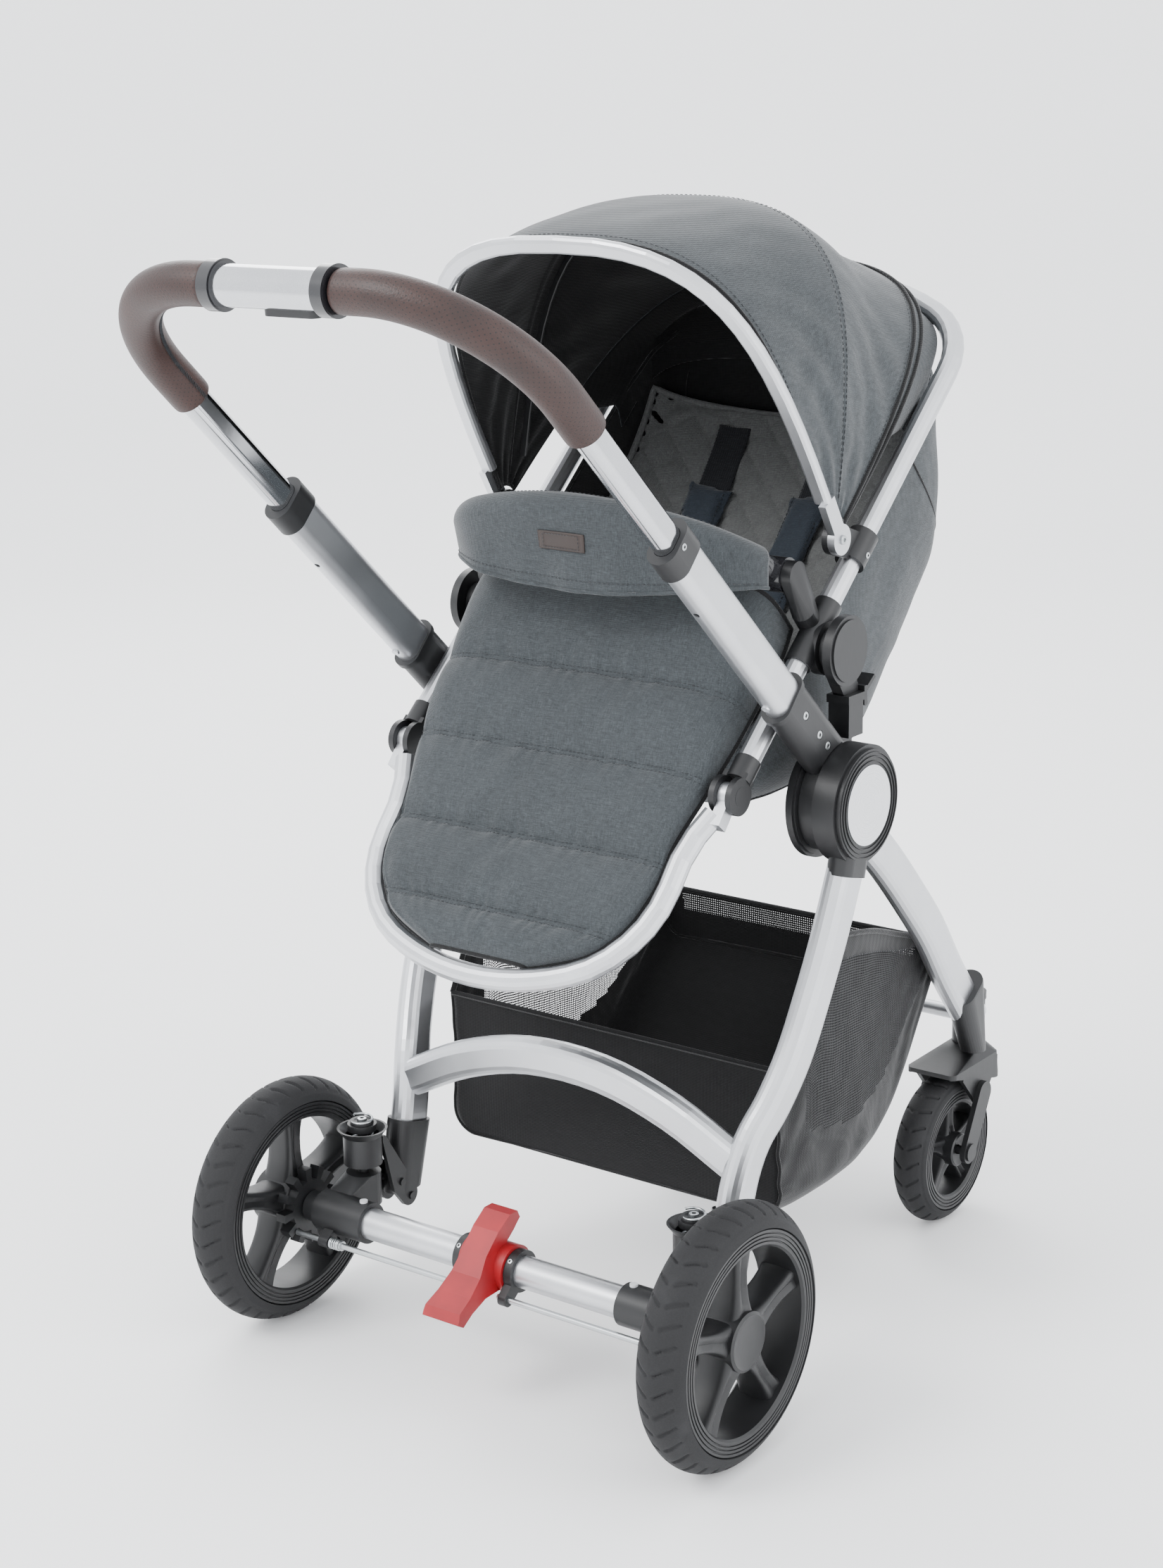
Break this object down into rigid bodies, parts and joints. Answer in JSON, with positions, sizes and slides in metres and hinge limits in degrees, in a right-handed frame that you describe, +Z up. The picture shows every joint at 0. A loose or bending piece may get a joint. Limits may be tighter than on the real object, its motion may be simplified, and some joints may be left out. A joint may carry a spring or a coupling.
{
  "type": "baby stroller",
  "caption": "Folding baby stroller with a rearward-facing reclining seat, canopy, apron, telescopic handle, basket, sprung axles and a foot brake.",
  "frame": {"origin": "on the ground under the middle of the stroller", "axes": "+X to the right, +Y in the direction of travel, +Z up"},
  "size_m": [0.599, 0.9534, 1.1296],
  "materials": {
    "satin_aluminium": "satin anodised",
    "polished_chrome": "polished",
    "spun_aluminium": "spun, circular brushed",
    "zinc_steel": "zinc plated",
    "black_nylon": "fine textured",
    "gloss_black": "smooth",
    "tyre_foam": "matt foam tyre",
    "grey_cloth": "heather weave",
    "liner_cloth": "quilted heather",
    "black_mesh": "mesh and cloth",
    "black_webbing": "woven webbing",
    "brown_leather": "perforated leatherette",
    "red_plastic": "satin",
    "pale_plastic": "satin"
  },
  "bodies": {
    "front_frame": {"front_legs": "satin_aluminium", "front_leg_hubs": "black_nylon", "hub_pins": "zinc_steel", "seat_posts": "black_nylon", "swivel_housings": "black_nylon", "basket": "black_mesh"},
    "seat_release_l": {"seat_release_l": "black_nylon"},
    "seat_release_r": {"seat_release_r": "black_nylon"},
    "swivel_lock_l": {"swivel_lock_l": "pale_plastic"},
    "swivel_lock_r": {"swivel_lock_r": "pale_plastic"},
    "fork_l": {"front_fork_l": "black_nylon"},
    "fork_r": {"front_fork_r": "black_nylon"},
    "arm_l": {"front_arm_l": "black_nylon"},
    "arm_r": {"front_arm_r": "black_nylon"},
    "front_wheel_l": {"front_rim_l": "black_nylon", "front_tyre_l": "tyre_foam"},
    "front_wheel_r": {"front_rim_r": "black_nylon", "front_tyre_r": "tyre_foam"},
    "rear_frame": {"rear_legs": "satin_aluminium", "rear_leg_hubs": "black_nylon", "hub_covers": "spun_aluminium", "leg_brackets": "black_nylon", "suspension_springs": "zinc_steel"},
    "rear_axle": {"axle_tube": "satin_aluminium", "axle_sleeves": "black_nylon", "guide_posts": "black_nylon", "pedal_collars": "black_nylon", "brake_spring": "zinc_steel"},
    "rear_wheel_l": {"rear_rim_l": "black_nylon", "rear_tyre_l": "tyre_foam"},
    "rear_wheel_r": {"rear_rim_r": "black_nylon", "rear_tyre_r": "tyre_foam"},
    "brake_pedal": {"brake_pedal": "red_plastic"},
    "brake_rod_l": {"brake_rod_l": "zinc_steel"},
    "brake_rod_r": {"brake_rod_r": "zinc_steel"},
    "wheel_release_l": {"wheel_release_l": "pale_plastic"},
    "wheel_release_r": {"wheel_release_r": "pale_plastic"},
    "handle_base": {"handle_sockets": "black_nylon", "handle_arms": "satin_aluminium", "handle_collars": "black_nylon"},
    "handle": {"handle_tube": "polished_chrome", "handle_grips": "brown_leather", "handle_rings": "gloss_black", "handle_sleeve": "polished_chrome"},
    "handle_button": {"handle_button": "black_nylon"},
    "seat_carrier": {"seat_adapters": "black_nylon"},
    "seat": {"seat_frame": "satin_aluminium", "seat_fittings": "black_nylon", "seat_shell": "grey_cloth", "seat_liner": "liner_cloth", "harness": "black_webbing", "apron": "grey_cloth", "canopy_fabric": "grey_cloth"},
    "canopy_bow": {"canopy_front_bow": "satin_aluminium"},
    "canopy_mid": {"canopy_mid_bow": "black_nylon"},
    "footrest": {"footrest_frame": "satin_aluminium"},
    "footrest_button_l": {"footrest_button_l": "black_nylon"},
    "footrest_button_r": {"footrest_button_r": "black_nylon"},
    "bumper": {"bumper_bar": "gloss_black", "apron_flap": "grey_cloth"}
  },
  "joints": [
    {"name": "chassis_fold", "type": "hinge", "parent": "front_frame", "child": "rear_frame", "pos_m": [0, 0.054, 0.57], "axis": [1, 0, 0], "range_deg": [0, 39], "deforming": ["basket"]},
    {"name": "handle_fold", "type": "hinge", "parent": "front_frame", "child": "handle_base", "pos_m": [0, 0.054, 0.57], "axis": [1, 0, 0], "range_deg": [0, 86.67]},
    {"name": "handle_height", "type": "slide", "parent": "handle_base", "child": "handle", "axis": [0, -0.7278, 0.6858], "range_m": [-0.12, 0]},
    {"name": "handle_button_press", "type": "slide", "parent": "handle", "child": "handle_button", "axis": [0, -0.1167, 0.9932], "range_m": [0, 0.0025], "stiffness_N_per_m": 400, "springref_m": -0.002},
    {"name": "seat_lift", "type": "slide", "parent": "front_frame", "child": "seat_carrier", "axis": [0, 0, 1], "range_m": [0, 0.06]},
    {"name": "seat_recline", "type": "hinge", "parent": "seat_carrier", "child": "seat", "pos_m": [0, 0.068, 0.713], "axis": [1, 0, 0], "range_deg": [-22, 12]},
    {"name": "canopy_fold", "type": "hinge", "parent": "seat", "child": "canopy_bow", "pos_m": [0, 0.09028, 0.8138], "axis": [1, 0, 0], "range_deg": [-62, 0], "deforming": ["canopy_fabric"]},
    {"name": "canopy_mid_fold", "type": "hinge", "parent": "seat", "child": "canopy_mid", "pos_m": [0, 0.09028, 0.8138], "axis": [1, 0, 0], "range_deg": [-31, 0]},
    {"name": "footrest_tilt", "type": "hinge", "parent": "seat", "child": "footrest", "pos_m": [0, -0.08026, 0.59969], "axis": [1, 0, 0], "range_deg": [0, 40], "deforming": ["apron"]},
    {"name": "bumper_tilt", "type": "hinge", "parent": "seat", "child": "bumper", "pos_m": [0, 0.0413, 0.7845], "axis": [1, 0, 0], "range_deg": [-35, 0]},
    {"name": "footrest_button_l_press", "type": "slide", "parent": "seat", "child": "footrest_button_l", "axis": [1, 0, 0], "range_m": [0, 0.003], "stiffness_N_per_m": 400, "springref_m": -0.002},
    {"name": "footrest_button_r_press", "type": "slide", "parent": "seat", "child": "footrest_button_r", "axis": [-1, 0, 0], "range_m": [0, 0.003], "stiffness_N_per_m": 400, "springref_m": -0.002},
    {"name": "rear_suspension", "type": "slide", "parent": "rear_frame", "child": "rear_axle", "axis": [0, 0, 1], "range_m": [0, 0.008], "stiffness_N_per_m": 9000, "springref_m": -0.03, "deforming": ["suspension_springs"]},
    {"name": "brake_pedal_tilt", "type": "hinge", "parent": "rear_axle", "child": "brake_pedal", "pos_m": [0, -0.202, 0.127], "axis": [1, 0, 0], "range_deg": [0, 20], "deforming": ["brake_spring"]},
    {"name": "brake_rod_l_slide", "type": "slide", "parent": "rear_axle", "child": "brake_rod_l", "axis": [-1, 0, 0], "range_m": [0, 0.007]},
    {"name": "rear_wheel_l_spin", "type": "hinge", "parent": "rear_axle", "child": "rear_wheel_l", "pos_m": [-0.273, -0.202, 0.127], "axis": [1, 0, 0], "continuous": true},
    {"name": "wheel_release_l_press", "type": "slide", "parent": "rear_axle", "child": "wheel_release_l", "axis": [0, 0, -1], "range_m": [0, 0.002], "stiffness_N_per_m": 400, "springref_m": -0.002},
    {"name": "swivel_l", "type": "hinge", "parent": "front_frame", "child": "fork_l", "pos_m": [-0.162, 0.448, 0.15], "axis": [0, 0, 1], "continuous": true},
    {"name": "front_suspension_l", "type": "hinge", "parent": "fork_l", "child": "arm_l", "pos_m": [-0.162, 0.424, 0.1445], "axis": [1, 0, 0], "range_deg": [-8, 0], "stiffness_Nm_per_rad": 60, "springref_deg": 11.46},
    {"name": "front_wheel_l_spin", "type": "hinge", "parent": "arm_l", "child": "front_wheel_l", "pos_m": [-0.162, 0.392, 0.0845], "axis": [1, 0, 0], "continuous": true},
    {"name": "swivel_lock_l_slide", "type": "slide", "parent": "front_frame", "child": "swivel_lock_l", "axis": [0, 0, -1], "range_m": [0, 0.006]},
    {"name": "seat_release_l_tilt", "type": "hinge", "parent": "front_frame", "child": "seat_release_l", "pos_m": [0, 0.1063, 0.655], "axis": [1, 0, 0], "range_deg": [-12, 0], "stiffness_Nm_per_rad": 1.5, "springref_deg": 11.46},
    {"name": "brake_rod_r_slide", "type": "slide", "parent": "rear_axle", "child": "brake_rod_r", "axis": [1, 0, 0], "range_m": [0, 0.007]},
    {"name": "rear_wheel_r_spin", "type": "hinge", "parent": "rear_axle", "child": "rear_wheel_r", "pos_m": [0.273, -0.202, 0.127], "axis": [1, 0, 0], "continuous": true},
    {"name": "wheel_release_r_press", "type": "slide", "parent": "rear_axle", "child": "wheel_release_r", "axis": [0, 0, -1], "range_m": [0, 0.002], "stiffness_N_per_m": 400, "springref_m": -0.002},
    {"name": "swivel_r", "type": "hinge", "parent": "front_frame", "child": "fork_r", "pos_m": [0.162, 0.448, 0.15], "axis": [0, 0, 1], "continuous": true},
    {"name": "front_suspension_r", "type": "hinge", "parent": "fork_r", "child": "arm_r", "pos_m": [0.162, 0.424, 0.1445], "axis": [1, 0, 0], "range_deg": [-8, 0], "stiffness_Nm_per_rad": 60, "springref_deg": 11.46},
    {"name": "front_wheel_r_spin", "type": "hinge", "parent": "arm_r", "child": "front_wheel_r", "pos_m": [0.162, 0.392, 0.0845], "axis": [1, 0, 0], "continuous": true},
    {"name": "swivel_lock_r_slide", "type": "slide", "parent": "front_frame", "child": "swivel_lock_r", "axis": [0, 0, -1], "range_m": [0, 0.006]},
    {"name": "seat_release_r_tilt", "type": "hinge", "parent": "front_frame", "child": "seat_release_r", "pos_m": [0, 0.1063, 0.655], "axis": [1, 0, 0], "range_deg": [-12, 0], "stiffness_Nm_per_rad": 1.5, "springref_deg": 11.46}
  ],
  "couplings": [
    {"joint": "handle_fold", "follows": "chassis_fold", "ratio": 2.2222},
    {"joint": "canopy_mid_fold", "follows": "canopy_fold", "ratio": 0.5},
    {"joint": "brake_rod_l_slide", "follows": "brake_pedal_tilt", "m_per_rad": 0.02005},
    {"joint": "brake_rod_r_slide", "follows": "brake_pedal_tilt", "m_per_rad": 0.02005}
  ]
}
